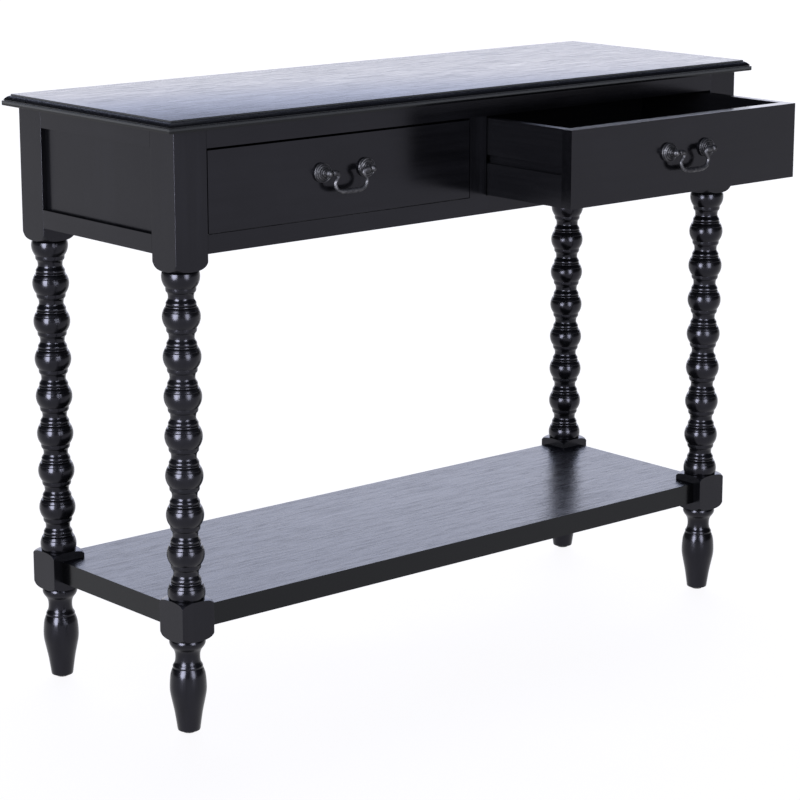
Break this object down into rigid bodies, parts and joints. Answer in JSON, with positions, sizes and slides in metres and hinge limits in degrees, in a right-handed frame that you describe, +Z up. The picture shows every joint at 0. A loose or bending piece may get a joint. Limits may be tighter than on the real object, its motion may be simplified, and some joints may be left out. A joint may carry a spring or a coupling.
{
  "type": "console table",
  "caption": "Narrow console table with bobbin-turned legs, a moulded top, a low shelf and side-by-side drawers with swinging bail pulls.",
  "frame": {"origin": "floor level, under the middle of the whole table as stored, with its right drawer drawn out", "axes": "+X along the table towards the right drawer, -Y out of the drawer fronts, +Z up"},
  "size_m": [1.042, 0.5363, 0.8],
  "materials": {
    "black_wood": "smooth black paint, semi-gloss",
    "grained_wood": "thin black paint over open grain, semi-gloss",
    "drawer_wood": "black stain, satin",
    "pewter": "dark antique pewter, rubbed at the edges",
    "screw_steel": "bright zinc plate",
    "glide": "moulded black nylon"
  },
  "bodies": {
    "table": {"table_top": "grained_wood", "shelf": "grained_wood", "front_left_leg": "black_wood", "front_right_leg": "black_wood", "back_left_leg": "black_wood", "back_right_leg": "black_wood", "front_left_glide": "glide", "front_right_glide": "glide", "back_left_glide": "glide", "back_right_glide": "glide", "front_top_rail": "black_wood", "front_bottom_rail": "black_wood", "centre_stile": "black_wood", "left_end_top_rail": "black_wood", "left_end_bottom_rail": "black_wood", "left_end_panel": "black_wood", "right_end_top_rail": "black_wood", "right_end_bottom_rail": "black_wood", "right_end_panel": "black_wood", "back_panel": "black_wood", "centre_rail": "drawer_wood", "left_drawer_left_runner": "drawer_wood", "left_drawer_right_runner": "drawer_wood", "right_drawer_left_runner": "drawer_wood", "right_drawer_right_runner": "drawer_wood", "left_drawer_stop": "drawer_wood", "right_drawer_stop": "drawer_wood", "front_left_corner_block": "drawer_wood", "front_right_corner_block": "drawer_wood", "back_left_corner_block": "drawer_wood", "back_right_corner_block": "drawer_wood", "front_left_top_screw": "screw_steel", "front_right_top_screw": "screw_steel", "back_left_top_screw": "screw_steel", "back_right_top_screw": "screw_steel"},
    "left_drawer": {"left_drawer_front": "black_wood", "left_drawer_left_side": "drawer_wood", "left_drawer_right_side": "drawer_wood", "left_drawer_back": "drawer_wood", "left_drawer_bottom": "drawer_wood", "left_drawer_pull_left_rosette": "pewter", "left_drawer_pull_right_rosette": "pewter", "left_drawer_pull_left_post": "pewter", "left_drawer_pull_right_post": "pewter", "left_drawer_pull_left_screw": "screw_steel", "left_drawer_pull_right_screw": "screw_steel"},
    "right_drawer": {"right_drawer_front": "black_wood", "right_drawer_left_side": "drawer_wood", "right_drawer_right_side": "drawer_wood", "right_drawer_back": "drawer_wood", "right_drawer_bottom": "drawer_wood", "right_drawer_pull_left_rosette": "pewter", "right_drawer_pull_right_rosette": "pewter", "right_drawer_pull_left_post": "pewter", "right_drawer_pull_right_post": "pewter", "right_drawer_pull_left_screw": "screw_steel", "right_drawer_pull_right_screw": "screw_steel"},
    "left_bail": {"left_drawer_pull_bail": "pewter"},
    "right_bail": {"right_drawer_pull_bail": "pewter"}
  },
  "joints": [
    {"name": "left_drawer_slide", "type": "slide", "parent": "table", "child": "left_drawer", "axis": [0, -1, 0], "range_m": [0, 0.22]},
    {"name": "right_drawer_slide", "type": "slide", "parent": "table", "child": "right_drawer", "axis": [0, -1, 0], "range_m": [-0.162, 0.058]},
    {"name": "left_bail_swing", "type": "hinge", "parent": "left_drawer", "child": "left_bail", "pos_m": [-0.23387, -0.1015, 0.712], "axis": [-1, 0, 0], "range_deg": [-26, 206]},
    {"name": "right_bail_swing", "type": "hinge", "parent": "right_drawer", "child": "right_bail", "pos_m": [0.23387, -0.2635, 0.712], "axis": [-1, 0, 0], "range_deg": [-26, 206]}
  ]
}
